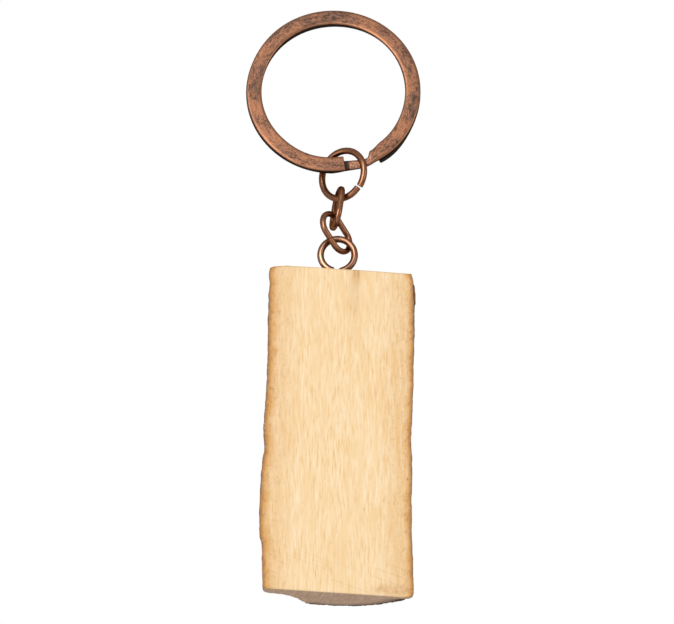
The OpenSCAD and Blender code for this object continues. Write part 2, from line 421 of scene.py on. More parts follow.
def dry_bark():
    """Old bark: dark furrows, grey-brown plates and rusty inner layers where it flakes."""
    n = Nodes("dry_bark")
    depth = n.attribute("furrow")
    plates = n.noise(1.0, 6, 0.65, n.stretched((900, 900, 240)), 0.4)
    fine = n.noise(1.0, 5, 0.7, n.stretched((3800, 3800, 1500)))
    colour = n.ramp(plates, [(0.30, (0.110, 0.065, 0.045)), (0.50, (0.235, 0.145, 0.100)),
                             (0.72, (0.400, 0.285, 0.205))])
    colour = n.mix(n.ramp(fine, [(0.50, 0.0), (0.74, 0.55)]), colour, (0.420, 0.330, 0.260))
    colour = n.mix(n.ramp(depth, [(0.15, 0.85), (0.55, 0.0)]), colour, (0.055, 0.027, 0.016))
    height = n.math("ADD", n.math("MULTIPLY", plates, 0.5), n.math("MULTIPLY", fine, 0.5))
    normal = n.bump(height, 0.8, 0.2)
    return n.finish(colour, None, normal, Roughness=0.9)


def inner_bark():
    """Thin rusty bast left on the live edges."""
    n = Nodes("inner_bark")
    fibres = n.noise(1.0, 5, 0.7, n.stretched((3000, 3000, 320)), 0.4)
    patches = n.noise(900, 4, 0.6)
    colour = n.ramp(fibres, [(0.32, (0.150, 0.078, 0.042)), (0.52, (0.330, 0.180, 0.095)),
                             (0.70, (0.560, 0.350, 0.190))])
    colour = n.mix(n.ramp(patches, [(0.45, 0.0), (0.62, 0.7)]), colour, (0.150, 0.090, 0.060))
    normal = n.bump(fibres, 0.8, 0.12)
    return n.finish(colour, None, normal, Roughness=0.88)


# ---------------------------------------------------------------- swept wires

WIRE_MARKS = ("wear_and_sheen", "patina_and_shade", "run", "across", "through")


def new_marks():
    return {name: [] for name in WIRE_MARKS}


def add_mark(marks, wear_and_sheen, patina_and_shade, run, across, through):
    """Notes one vertex: its wear with any painted sheen, its patina with any painted shade, and its place
    along and across the wire.
    """
    for name, value in zip(WIRE_MARKS, (wear_and_sheen, patina_and_shade, run * MM, across * MM, through * MM)):
        marks[name].append(value)


def close_wire(points, middles, columns, marks, cut_patina):
    """Faces of a swept wire, with a flat dark cut face at both ends whose middles are added last."""
    rows = len(middles)
    faces = grid_faces(rows, columns)
    first, last = rows * columns, rows * columns + 1
    for j in range(columns):
        k = (j + 1) % columns
        faces.append((first, k, j))
        faces.append((last, (rows - 1) * columns + j, (rows - 1) * columns + k))
    points.extend([middles[0], middles[-1]])
    for name, values in marks.items():
        on_cut = {"wear_and_sheen": 0.0, "patina_and_shade": cut_patina}.get(name, values[-1])
        values.extend([on_cut, on_cut])
    return faces


def rounded_bar_outline(width, thick, radius, steps=5):
    """Outline of a rounded rectangle as (across, through) offsets, and how far each point has turned
    from the flat face, 0, to the side, 90."""
    outline, turned = [], []
    corners = ((1, 1), (-1, 1), (-1, -1), (1, -1))
    for quarter, (sx, sy) in enumerate(corners):
        towards_flat = quarter % 2 == 0
        for k in range(steps + 1):
            a = math.radians(90 * (quarter + k / steps))
            outline.append((sx * (width / 2 - radius) + radius * math.cos(a),
                            sy * (thick / 2 - radius) + radius * math.sin(a)))
            turned.append(90 * (1 - k / steps) if towards_flat else 90 * k / steps)
        nx, ny = corners[(quarter + 1) % 4]
        a = math.radians(90 * (quarter + 1))
        straight_to = (nx * (width / 2 - radius) + radius * math.cos(a),
                       ny * (thick / 2 - radius) + radius * math.sin(a))
        straight_from = outline[-1]
        between = 6 if towards_flat else 1
        for k in range(1, between + 1):
            f = k / (between + 1)
            outline.append((straight_from[0] * (1 - f) + straight_to[0] * f,
                            straight_from[1] * (1 - f) + straight_to[1] * f))
            turned.append(0.0 if towards_flat else 90.0)
    return np.array(outline), turned


# The split ring. Angles run anticlockwise from the right; the neck is where the wire crosses from the
# back turn to the front turn, narrowed so that the turns pass each other.
RING_WIRE_W = 2.65
RING_WIRE_T = 0.83
RING_EDGE_R = 0.385
RING_FRONT_END = 278.0
RING_BACK_END = -418.0
RING_STEP = 0.6
RING_END_STEPS = (0.0, 0.12, 0.3)
RING_END_PINCH = 0.05
NECK_FROM = 60.8
NECK_TO = 83.0
NECK_STEP = 0.2
NECK_SHOULDER = 4.4
NECK_TAPER = 11.0
NECK_TAPER_DEPTH = 0.45
NECK_CHORD = 12.75
NECK_HIGHEST = 13.78
NECK_T = 0.72
NECK_OUTER_RISE = 0.12
NECK_OUTER_DROP = 0.28
# Painted shadow beside the front cut end: degrees before the neck's end where it starts and where it is
# full.
SHADOW_BEFORE_END = (4.8, 3.4)
SPRUNG = (  # angle along the wire, reach, how far the wire is sprung outward there
    (252.0, 20.0, 0.17), (155.0, 22.0, -0.15), (-45.0, 20.0, 0.16), (-308.0, 32.0, 0.30),
    (-412.0, 18.0, 0.46),
)
# Patina patches, darkest at the top and right and faint at the lower left, where the light falls, so they
# carry painted shade as well as patina.
PATINA_AND_SHADE_PATCHES = (  # angle round the ring, reach, strength
    (84, 17, 1.0), (112, 12, 0.7), (138, 18, 1.0), (52, 14, 0.9), (20, 12, 0.9), (-17, 14, 1.0),
    (-46, 8, 0.6), (170, 14, 0.7), (214, 9, 0.3), (245, 10, 0.3),
)
FLAT_PATINA = 0.55
LEAST_PATINA = 0.35
# Painted shade on the lower half of the neck, so that it reads as rounded.
NECK_UNDERSIDE_SHADE = 0.6
# Patina in the groove between the turns, with painted shade on the band's inner and outer rims and on the
# faces where the turns lie together; also the darkness of the ring's cut faces.
GROOVE_PATINA_AND_SHADE = 2.2
RUBBED_EDGE = (36, 20)
# How far round from the flat face the painted shade on the rims starts and is full.
SHADED_RIM_TURN = (50, 85)
OUTER_EDGE_WEAR = 0.9


def bell(x, middle, reach):
    return math.exp(-((x - middle) / reach) ** 2)


def ring_profile(angle, outer_r):
    """Inner radius, outer radius, thickness and side (-1 front, 1 back) of the flat wire there."""
    below = -angle
    spring = sum(depth * bell(angle, middle, reach) for middle, reach, depth in SPRUNG)
    inner = outer_r - RING_WIRE_W + spring
    outer = outer_r + spring
    thick = RING_WIRE_T
    side = -1 + 2 * float(smooth(below, NECK_FROM, NECK_TO))
    if NECK_FROM - NECK_TAPER < below < NECK_TO + 1:
        shoulder = float(smooth(below, NECK_FROM, NECK_FROM + NECK_SHOULDER))
        neck = shoulder * (1 - float(smooth(below, NECK_TO - 0.6, NECK_TO + 0.6)))
        chord = min(NECK_CHORD / math.sin(math.radians(below)), NECK_HIGHEST)
        if below < NECK_FROM + NECK_SHOULDER:
            inner += NECK_TAPER_DEPTH * float(smooth(below, NECK_FROM - NECK_TAPER, NECK_FROM))
        inner += (chord - inner) * neck
        outer += NECK_OUTER_RISE * shoulder * (1 - float(smooth(below, NECK_FROM + 8, NECK_TO)))
        thick += (NECK_T - RING_WIRE_T) * neck
    outer -= NECK_OUTER_DROP * float(smooth(below, NECK_FROM + 6, NECK_TO - 3)
                                     * (1 - smooth(below, NECK_TO - 2, NECK_TO + 9)))
    return inner, outer, thick, side


def ring_stops(total):
    """Places along the wire in degrees from its front end, close together at the neck and the ends."""
    stops = list(np.arange(0, total, RING_STEP))
    stops += list(np.arange(RING_FRONT_END + NECK_FROM - 8, RING_FRONT_END + NECK_TO + 3, NECK_STEP))
    stops += list(RING_END_STEPS) + [total - step for step in RING_END_STEPS]
    return sorted({round(float(stop), 3) for stop in stops})


def ring_patina_and_shade(angle):
    """How dark the patina and painted shade on the wire's flats are there."""
    darkest = max(strength * bell((angle - where + 180) % 360 - 180, 0, reach)
                  for where, reach, strength in PATINA_AND_SHADE_PATCHES)
    return max(darkest, LEAST_PATINA)


def build_split_ring(material):
    """One flat wire wound twice, with square cut ends and a narrow crossover between the turns."""
    low, high = node_box("split_ring")
    outer_r = (high[0] - low[0]) / 2
    centre = box_centre("split_ring")
    offset = (high[1] - low[1]) / 2 - RING_WIRE_T / 2
    total = RING_FRONT_END - RING_BACK_END
    points, middles, marks = [], [], new_marks()
    for travelled in ring_stops(total):
        angle = RING_FRONT_END - travelled
        inner, outer, thick, side = ring_profile(angle, outer_r)
        width = outer - inner
        nearest_end = min(travelled, total - travelled)
        pinch = 1 - RING_END_PINCH * (1 - float(smooth(nearest_end, 0.0, 0.3)))
        outline, turned = rounded_bar_outline(width, thick, min(RING_EDGE_R, thick / 2 - 0.01))
        a = math.radians(angle)
        radial = np.array([math.cos(a), 0, math.sin(a)])
        middle = centre + radial * (outer + inner) / 2 + np.array([0, side * offset, 0])
        middles.append(middle)
        shade = ring_patina_and_shade(angle)
        on_neck = float(smooth(-angle, NECK_FROM, NECK_FROM + 4)
                        * (1 - smooth(-angle, NECK_TO, NECK_TO + 1)))
        # Faces of the turns that lie against each other are darkened, and a painted shadow lies on the
        # neck's face in the recess beside the front cut end.
        shadow_from, shadow_to = (NECK_TO - before for before in SHADOW_BEFORE_END)
        touching_and_shadowed = float(angle > -NECK_FROM) + float(smooth(-angle, shadow_from, shadow_to))
        away_from_end = 0.0 if nearest_end < 0.5 else 1.0
        for (across, through), corner in zip(outline, turned):
            points.append(middle + radial * across * pinch + np.array([0, through * pinch, 0]))
            inside = touching_and_shadowed if side * through < -0.1 else 0.0
            # Painted shade on the rims and between the turns, with patina in the groove where they meet.
            groove_and_shade = min(away_from_end * float(smooth(corner, *SHADED_RIM_TURN)) + inside, 1.0)
            edge_wear = 1.0 if across < 0 else OUTER_EDGE_WEAR
            flat = 1 - 0.8 * abs(across) / width
            # Painted shade on the neck's lower half.
            low_side_shade = NECK_UNDERSIDE_SHADE * on_neck * float(smooth(across / width, 0.10, 0.45))
            add_mark(marks, bell(corner, *RUBBED_EDGE) * edge_wear * (1 - groove_and_shade),
                     FLAT_PATINA * shade * flat + GROOVE_PATINA_AND_SHADE * groove_and_shade + low_side_shade,
                     a * outer_r, across, through + side)
    faces = close_wire(points, middles, len(outline), marks, GROOVE_PATINA_AND_SHADE)
    make_piece("split_ring_wire", points, flipped(faces), "ring", ["split_ring"],
               [material], marks)


WIRE_COLUMNS = 32
WIRE_UNEVEN = 0.012
WIRE_END_PINCH = 0.08
# Painted sheen: how much brighter the side of a wire that faces the front is drawn.
FRONT_SHEEN = 0.20
OUTSIDE_WEAR = 0.20
INSIDE_PATINA = 0.45
END_PATINA = 0.9
CUT_PATINA = 1.4


def build_wire(name, body, node, material, places, outs, run, wire, flat, seed):
    """A round or slightly flattened wire along given places, each with its outward direction."""
    places = np.array(places)
    points, marks = [], new_marks()
    for i, (place, out) in enumerate(zip(places, outs)):
        along = unit(places[min(i + 1, len(places) - 1)] - places[max(i - 1, 0)])
        front = unit(np.cross(out, along))
        front = front if front[1] < 0 else -front
        nearest_end = min(run[i] - run[0], run[-1] - run[i])
        pinch = 1 - WIRE_END_PINCH * (1 - float(smooth(nearest_end, 0, 0.09)))
        at_end = END_PATINA * (1 - float(smooth(nearest_end, 0, 0.05)))
        for j in range(WIRE_COLUMNS):
            b = 2 * math.pi * j / WIRE_COLUMNS
            uneven = pinch * (1 + WIRE_UNEVEN * fbm((run[i] * 0.5, j * 0.3, seed)))
            across = wire / 2 * math.cos(b) * uneven
            through = (wire / 2 * math.sin(b) + math.copysign(flat / 2, math.sin(b))) * uneven
            points.append(place + out * across + front * through)
            # Painted sheen on the half of the wire facing the front, laid into the wear mark beside the
            # rubbed outside.
            lit_front = 0.5 + 0.5 * math.sin(b)
            outside = 0.5 + 0.5 * math.cos(b)
            add_mark(marks, FRONT_SHEEN * lit_front + OUTSIDE_WEAR * outside,
                     INSIDE_PATINA * (1 - outside) + at_end, run[i], across, through)
    faces = close_wire(points, places, WIRE_COLUMNS, marks, CUT_PATINA)
    make_piece(name, points, faces, body, [node], [material], marks)


JUMP_WIRE_D = 1.13
JUMP_MEAN_D = 8.5
JUMP_GAP = 0.3
JUMP_GAP_ANGLE = -42.0
JUMP_TWIST = 0.8
JUMP_STEP = 2.0
JUMP_END_STEPS = (0, 0.4, 1.0, 2.0, 3.5)


def build_jump_ring(material):
    """The round ring, cut once: its two ends don't quite line up, and the cut faces are dark."""
    centre = ring_centre("jump_ring")
    normal = principal_axes("jump_ring", centre)[2]
    normal = normal if normal[1] < 0 else -normal
    right = unit(np.cross([0, 0, -1], normal))
    right = right if right[0] > 0 else -right
    up = unit(np.cross(right, normal))
    up = up if up[2] > 0 else -up
    gap_at = math.radians(JUMP_GAP_ANGLE)
    gap_side = right * math.cos(gap_at) + up * math.sin(gap_at)
    far_side = unit(np.cross(gap_side, normal))
    mean_r = JUMP_MEAN_D / 2
    half_gap = math.degrees(math.asin(JUMP_GAP / JUMP_MEAN_D))
    turn = 360 - 2 * half_gap
    stops = list(JUMP_END_STEPS) + list(np.arange(5, turn - 5, JUMP_STEP))
    stops += [turn - step for step in reversed(JUMP_END_STEPS)]
    places, outs, run = [], [], []
    for stop in stops:
        a = math.radians(half_gap + stop)
        direction = gap_side * math.cos(a) + far_side * math.sin(a)
        twist = math.radians(JUMP_TWIST) * (1 if stop < turn / 2 else -1) * (1 + math.cos(a)) / 2
        places.append(centre + direction * mean_r + normal * twist * mean_r * 2)
        outs.append(direction)
        run.append(a * mean_r)
    build_wire("jump_ring_wire", "jump", "jump_ring", material, places, outs, run,
               JUMP_WIRE_D, 0.0, 7)


LINK_WIRE_W = 0.95
LINK_WIRE_T = 1.07
LINK_SEAM = 0.07
LINK_STEP = 0.13
LINK_END_STEPS = (0, 0.03, 0.08, 0.16)


def stadium(length, width, distance):
    """Place and outward direction on a stadium's midline, from the middle of its left side."""
    r = width / 2
    half_side = (length - width) / 2
    arc = math.pi * r
    if distance < half_side:
        return np.array([-r, distance]), np.array([-1.0, 0.0])
    distance -= half_side
    if distance < arc:
        a = math.pi - distance / r
        out = np.array([math.cos(a), math.sin(a)])
        return np.array([0, half_side]) + r * out, out
    distance -= arc
    if distance < 2 * half_side:
        return np.array([r, half_side - distance]), np.array([1.0, 0.0])
    distance -= 2 * half_side
    if distance < arc:
        a = -distance / r
        out = np.array([math.cos(a), math.sin(a)])
        return np.array([0, -half_side]) + r * out, out
    return np.array([-r, distance - arc - half_side]), np.array([-1.0, 0.0])


def build_link(node, body, material, seed):
    """An oval link of slightly flattened wire, bent up from a cut length, with its butt joint."""
    centre = box_centre(node)
    long_way, wide_way, _ = principal_axes(node, centre)
    spans = node_points(node) - centre
    length = np.ptp(spans @ long_way) - LINK_WIRE_W
    width = np.ptp(spans @ wide_way) - LINK_WIRE_W
    seam_points = spans[np.abs(spans @ long_way) < LINK_SEAM]
    if np.mean(seam_points @ wide_way) > 0:
        wide_way = -wide_way
    start = LINK_SEAM / 2
    end = 2 * (length - width) + math.pi * width - start
    stops = [start + step for step in LINK_END_STEPS]
    stops += list(np.arange(start + 0.3, end - 0.2, LINK_STEP))
    stops += [end - step for step in reversed(LINK_END_STEPS)]
    places, outs = [], []
    for stop in stops:
        place, out = stadium(length, width, stop)
        places.append(centre + wide_way * place[0] + long_way * place[1])
        outs.append(wide_way * out[0] + long_way * out[1])
    build_wire(node + "_wire", body, node, material, places, outs, stops,
               LINK_WIRE_W, LINK_WIRE_T - LINK_WIRE_W, seed)


EYE_WIRE_D = 1.15
EYE_MEAN_D = 5.76
EYE_START = 20.0
EYE_FREE_END = 257.0
EYE_COLUMNS = 36
EYE_RUN_STEP = 0.12
EYE_TIP_PINCH = (0.80, 0.94, 0.99)
EYE_UNEVEN = 0.010
SHANK_PLAIN = 0.8
SHANK_STEP = 0.045
THREAD_CORE_D = 1.0
THREAD_OUTER_D = 1.48
THREAD_PITCH = 0.65
THREAD_TURNS = 11
SHANK_POINT = 1.2


def eye_path():
    """Wire centre in X and Z from the eye's centre, its outward side, and how far down the shank."""
    r = EYE_MEAN_D / 2
    sine = math.sin(math.radians(EYE_START))
    elbow_r = r * sine / (1 - sine)
    drop = (r + elbow_r) * math.cos(math.radians(EYE_START))
    path = []
    for angle in np.arange(EYE_FREE_END, EYE_START - 90, -2.5):
        a = math.radians(angle)
        out = np.array([math.cos(a), math.sin(a)])
        path.append((r * out, out, -1.0))
    for angle in np.arange(90 + EYE_START, 180.1, 5.0):
        a = math.radians(angle)
        out = np.array([math.cos(a), math.sin(a)])
        path.append((np.array([elbow_r, -drop]) + elbow_r * out, -out, -1.0))
    length = SHANK_PLAIN + THREAD_PITCH * THREAD_TURNS + SHANK_POINT
    for down in np.arange(0.08, length + 0.001, SHANK_STEP):
        path.append((np.array([0, -drop - down]), np.array([1.0, 0.0]), down))
    return path, length


def shank_radius(down, turn, length):
    """Radius of the shank: plain, then a helical thread, then a point."""
    thread_end = length - SHANK_POINT
    plain = EYE_WIRE_D / 2 - 0.02
    core = THREAD_CORE_D / 2
    phase = ((down - SHANK_PLAIN) / THREAD_PITCH - turn) % 1.0
    ridge = max(0.0, 1 - abs(phase - 0.45) / 0.33)
    height = (THREAD_OUTER_D - THREAD_CORE_D) / 2
    fade_in = smooth(down, SHANK_PLAIN - 0.1, SHANK_PLAIN + 0.5)
    fade = float(fade_in * (1 - smooth(down, thread_end - 0.3, length)))
    body = plain + (core - plain) * float(smooth(down, SHANK_PLAIN - 0.2, SHANK_PLAIN + 0.2))
    point = 1 - 0.92 * max(0.0, (down - thread_end) / SHANK_POINT)
    return body * point + height * ridge * fade


def build_screw_eye(material):
    """The eye, its elbow and its threaded shank, bent from one wire, with a painted sheen on its front,
    strongest at the lower left, and painted shade on its back.
    """
    low, high = node_box("screw_eye")
    centre = np.array([(low[0] + high[0]) / 2, 0, high[2] - EYE_WIRE_D / 2 - EYE_MEAN_D / 2])
    path, length = eye_path()
    points, middles, marks = [], [], new_marks()
    front = np.array([0, -1.0, 0])
    for i, (place, out, down) in enumerate(path):
        middle = centre + np.array([place[0], 0, place[1]])
        middles.append(middle)
        outward = np.array([out[0], 0, out[1]])
        pinch = EYE_TIP_PINCH[i] if i < len(EYE_TIP_PINCH) else 1.0
        # Painted highlight: where the front of the eye is drawn brightest, at its lower left.
        rubbed_and_sheen = float(smooth(-place[0], 1.4, 2.9)) * float(smooth(-place[1], -2.2, 0.4))
        for j in range(EYE_COLUMNS):
            b = 2 * math.pi * j / EYE_COLUMNS
            if down < 0:
                uneven = 1 + EYE_UNEVEN * fbm((i * EYE_RUN_STEP, j * 0.25, 3))
                radius = EYE_WIRE_D / 2 * pinch * uneven
            else:
                radius = shank_radius(down, j / EYE_COLUMNS, length) * pinch
            points.append(middle + radius * (outward * math.cos(b) + front * math.sin(b)))
            # Painted sheen on the front half of the wire and painted shade on its sides and back.
            lit_front = max(0.0, math.sin(b))
            add_mark(marks, 0.08 + 0.25 * lit_front + 0.65 * rubbed_and_sheen * lit_front,
                     0.6 * (1 - lit_front) * (1 - rubbed_and_sheen),
                     i * EYE_RUN_STEP, radius * math.cos(b), radius * math.sin(b))
    faces = close_wire(points, middles, EYE_COLUMNS, marks, 1.0)
    make_piece("screw_eye_wire", points, faces, "fob", ["screw_eye"], [material], marks)


# ---------------------------------------------------------------- wooden slab

FRONT_SLOT, END_SLOT, TORN_SLOT = 0, 1, 2
FRONT_ZONE, RIGHT_ZONE, BACK_ZONE, FACET_ZONE, LEFT_ZONE = range(5)
ZONE_SLOTS = (FRONT_SLOT, FRONT_SLOT, TORN_SLOT, TORN_SLOT, FRONT_SLOT)

SECTION_AXIS_X = -1.9
WOOD_R = 15.4
BARK_R = 16.2
BARK_FROM_X = -5.1
RIM_HEIGHT = 0.6
RIM_SLOPE = 0.35
FACET = ((-11.7, -0.8), (-8.5, -0.2), (-7.3, 0.8), (-6.0, 2.3), (-5.7, 3.4))
LEFT_RIM_Y = -0.95
TOP_DROP = 1.05
TOP_FALL = 0.03
BOTTOM_BAND = 2.1
PILOT_R = 0.62
PILOT_STEPS = (1.0, 3.0, 6.0, 9.4)
CLOSED_R = 0.06
SLAB_STEP = 0.3
CAP_LOOPS = 22
CAMBIUM_SHADE = 0.8
CAMBIUM_LOOPS = 9


class SlabOutline:
    """The sawn outline of the slab, read off the corners of the CAD node's flat front."""

    def __init__(self):
        points = node_points("wood_fob")
        self.front_y = points[:, 1].min()
        front = points[np.abs(points[:, 1] - self.front_y) < 0.01]
        front = np.unique(np.round(front[:, [0, 2]], 3), axis=0)
        x, z = front[:, 0], front[:, 1]
        middle_x = (x.min() + x.max()) / 2
        left = front[x < middle_x - 8]
        right = front[x > middle_x + 10.5]
        self.left = left[np.argsort(left[:, 1])]
        self.right = right[np.argsort(right[:, 1])]
        self.top = front[z > z.max() - TOP_DROP - TOP_FALL * (x - x.min())]
        self.bottom = front[z < z.min() + BOTTOM_BAND]
        self.axis_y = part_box("bark_back")[1].y / MM - BARK_R

    def left_x(self, z):
        edge = np.interp(z, self.left[:, 1], self.left[:, 0])
        return edge + 0.09 * fbm((z * 0.45, 1.5, 0)) + 0.025 * fbm((z * 1.9, 4.5, 0))

    def right_x(self, z):
        edge = np.interp(z, self.right[:, 1], self.right[:, 0])
        return edge + 0.07 * fbm((z * 0.4, 8.5, 0)) + 0.02 * fbm((z * 1.7, 3.5, 0))

    def top_z(self, x):
        return np.interp(x, self.top[:, 0], self.top[:, 1])

    def bottom_z(self, x):
        return np.interp(x, self.bottom[:, 0], self.bottom[:, 1])

    def between(self, x, t):
        """Height at a share t of the way from the sawn bottom to the sawn top."""
        return self.bottom_z(x) * (1 - t) + self.top_z(x) * t

    def back_y(self, x, right_x, radius):
        """Depth of the round back there, blunt towards the right edge."""
        reach = max(radius ** 2 - (x - SECTION_AXIS_X) ** 2, 0.0)
        round_back = self.axis_y + math.sqrt(reach)
        blunt = self.front_y + RIM_HEIGHT + RIM_SLOPE * (right_x - x)
        return max(round_back, blunt)


def evenly(points, count):
    """Points at equal distances along a polyline."""
    points = np.array(points, float)
    lengths = np.concatenate([[0], np.cumsum(np.linalg.norm(np.diff(points, axis=0), axis=1))])
    at = np.linspace(0, lengths[-1], count)
    return np.stack([np.interp(at, lengths, points[:, k]) for k in range(2)], axis=1)


def slab_section(slab, z):
    """The slab's cross-section in X and Y, counted round from the front's left edge, and its zones."""
    left, right = slab.left_x(z), slab.right_x(z)
    front = evenly([(left, slab.front_y), (right, slab.front_y)], 120)
    rim_y = slab.front_y + RIM_HEIGHT
    right_rim = evenly([(right, slab.front_y), (right + 0.02, rim_y - 0.25), (right - 0.12, rim_y)], 9)
    xs = np.concatenate([np.linspace(right - 0.12, 9, 30), np.linspace(8.9, BARK_FROM_X, 50)])
    back = np.array([(x, slab.back_y(x, right, WOOD_R)) for x in xs])
    facet = [(BARK_FROM_X, back[-1][1]), *reversed(FACET), (left + 0.25, LEFT_RIM_Y)]
    facet = evenly([(max(x, left + 0.25), y) for x, y in facet], 60)
    left_rim = evenly([(left + 0.25, LEFT_RIM_Y), (left, LEFT_RIM_Y - 0.3), (left, slab.front_y)], 16)
    parts = (front[:-1], right_rim[:-1], back[:-1], facet[:-1], left_rim[:-1])
    zones = np.concatenate([[zone] * len(part) for zone, part in enumerate(parts)])
    return np.concatenate(parts), zones


def slab_relief(zone, x, y, z):
    """Outward relief of the wood's surface in millimetres: fine grain in front, torn fibres behind."""
    if zone == FRONT_ZONE:
        return 0.012 * fbm((x * 3.0, z * 0.12, 2.0)) - 0.012
    if zone == FACET_ZONE:
        return 0.30 * fbm((x * 0.9 + y * 0.9, z * 0.07, 5.0)) + 0.10 * fbm((x * 3 + y * 3, z * 0.25, 9.0))
    if zone == BACK_ZONE:
        return 0.0
    return 0.05 * fbm((y * 2.0, z * 0.8, 6.0))


def stain_strength(x, z, top, bottom, right):
    """Soft brown stains: one running down from the top right of the middle, one at the bottom right, and a
    broad faint darkening below the top, a little left of the middle.
    """
    fading = math.exp(-max(0.0, top - z - 0.9) / 1.6)
    run = (bell(x, 3.55, 0.28) + 0.75 * bell(x, 2.95, 0.22)) * fading
    shade = 0.22 * bell(x, 2.7, 0.9) * bell(top - z, 4.0, 5.5)
    corner = bell(z - bottom, 1.1, 0.8) * float(smooth(x, 4.5, 8.5) * smooth(right - x, 0.0, 1.2))
    return 0.75 * run + shade + 0.85 * corner * (0.6 + 0.7 * fbm((x * 1.3, z * 1.3, 2)))


def edge_shades(x, z, left, right, on_left):
    """How tanned and how frayed the front is there, from the distance to the nearer live edge."""
    near = min(x - left, right - x)
    reach = 2.0 if on_left else 1.5
    reach *= 1 + 0.35 * fbm((z * 0.25, 3.0 if on_left else 6.0, 1))
    tan = 0.80 * float(1 - smooth(near, 0.0, reach)) + 0.32 * float(1 - smooth(near, 0.5, 6.5))
    return min(1.0, tan), float(1 - smooth(near, 0.0, 0.7))


def slab_skin(slab, zones, rows, middle_x):
    """Vertices of the slab's sides from the sawn bottom to the sawn top, and their marks."""
    points, marks = [], {"edge_tan": [], "edge_rim": [], "stain": [], "sawn": []}
    for i in range(rows):
        t = i / (rows - 1)
        mid_z = slab.between(middle_x, t)
        flat, _ = slab_section(slab, mid_z)
        shift = np.array([slab.between(x, t) for x in flat[:, 0]]) - mid_z
        base_left, base_right = slab.left_x(mid_z), slab.right_x(mid_z)
        for j, zone in enumerate(zones):
            y = flat[j, 1]
            z = mid_z + shift[j]
            left, right = slab.left_x(z), slab.right_x(z)
            x = left + (flat[j, 0] - base_left) / (base_right - base_left) * (right - left)
            before, after = flat[j - 1], flat[(j + 1) % len(zones)]
            out = unit((after[1] - before[1], before[0] - after[0]))
            lift = slab_relief(zone, x, y, z)
            points.append((x + out[0] * lift, y + out[1] * lift, z))
            tan, rim = edge_shades(x, z, left, right, x < middle_x)
            stain = CAMBIUM_SHADE if zone == BACK_ZONE and i in (0, rows - 1) else 0.0
            if zone == FRONT_ZONE:
                stain = stain_strength(x, z, slab.top_z(x), slab.bottom_z(x), right)
            marks["edge_tan"].append(tan)
            marks["edge_rim"].append(0.5 if zone == FACET_ZONE else rim)
            marks["stain"].append(stain)
            marks["sawn"].append(0.03 + 0.97 * math.exp(-max(0.0, z - slab.bottom_z(x) - 4.5) / 2))
    return points, marks


def join_loops(faces, first, second, columns, is_top):
    """Quads between two closed loops of vertices, facing up on the top end and down on the bottom."""
    for j in range(columns):
        k = (j + 1) % columns
        quad = (first + j, first + k, second + k, second + j)
        faces.append(quad if is_top else tuple(reversed(quad)))


def sawn_end(slab, is_top, hole, zones, points, marks, start):
    """Closes one end of the slab with loops that shrink to the pilot hole or, below, to a point."""
    columns = len(zones)
    outer = np.array(points[start:start + columns])
    faces = []
    for k in range(1, CAP_LOOPS + 1):
        s = 1 - k / CAP_LOOPS
        shade = CAMBIUM_SHADE * (1 - min(k / CAMBIUM_LOOPS, 1)) ** 2
        join_loops(faces, start, len(points), columns, is_top)
        start = len(points)
        for j, zone in enumerate(zones):
            direction = unit(outer[j, :2] - hole)
            inner = hole + direction * (PILOT_R if is_top else CLOSED_R)
            x, y = inner * (1 - s) + outer[j, :2] * s
            saw = abs(0.03 * fbm((x * 0.8 + y * 2.2, y * 0.6, 3)) * (1 - s ** 8))
            crater = 0.25 * bell(np.linalg.norm((x, y) - hole), PILOT_R, 0.25)
            z = slab.top_z(x) - saw - crater if is_top else slab.bottom_z(x) + saw
            points.append((x, y, z))
            marks["stain"].append(shade if zone == BACK_ZONE else 0.0)
    for down in PILOT_STEPS if is_top else ():
        join_loops(faces, start, len(points), columns, is_top)
        points.extend([(x, y, slab.top_z(hole[0]) - down) for x, y, _ in points[start:start + columns]])
        start += columns
        marks["stain"].extend([0.0] * columns)
    points.append(tuple(np.mean(points[start:start + columns], axis=0)))
    marks["stain"].append(0.0)
    for j in range(columns):
        fan = (len(points) - 1, start + j, start + (j + 1) % columns)
        faces.append(fan if is_top else tuple(reversed(fan)))
    return faces


def build_wood(slab, materials):
    """The slab as a loft of cross-sections from the sawn bottom to the sawn top, with its pilot hole."""
    low, high = node_box("wood_fob")
    rows = int((high[2] - low[2]) / SLAB_STEP)
    middle_x = (low[0] + high[0]) / 2
    _, zones = slab_section(slab, slab.between(middle_x, 0.5))
    points, marks = slab_skin(slab, zones, rows, middle_x)
    faces = grid_faces(rows, len(zones))
    kinds = [ZONE_SLOTS[zone] for _ in range(rows - 1) for zone in zones]
    hole = np.array([box_centre("screw_eye")[0], 0.0])
    faces += sawn_end(slab, False, hole, zones, points, marks, 0)
    faces += sawn_end(slab, True, hole, zones, points, marks, (rows - 1) * len(zones))
    kinds += [END_SLOT] * (len(faces) - len(kinds))
    for values in marks.values():
        values.extend([0.0] * (len(points) - len(values)))
    make_piece("wood_slab", points, faces, "fob", ["wood_fob"], materials, marks, kinds)


BARK_STEP = 0.28
BARK_COLUMNS = 170
BARK_MOST_X = 12.1
BARK_THINNEST = 0.12


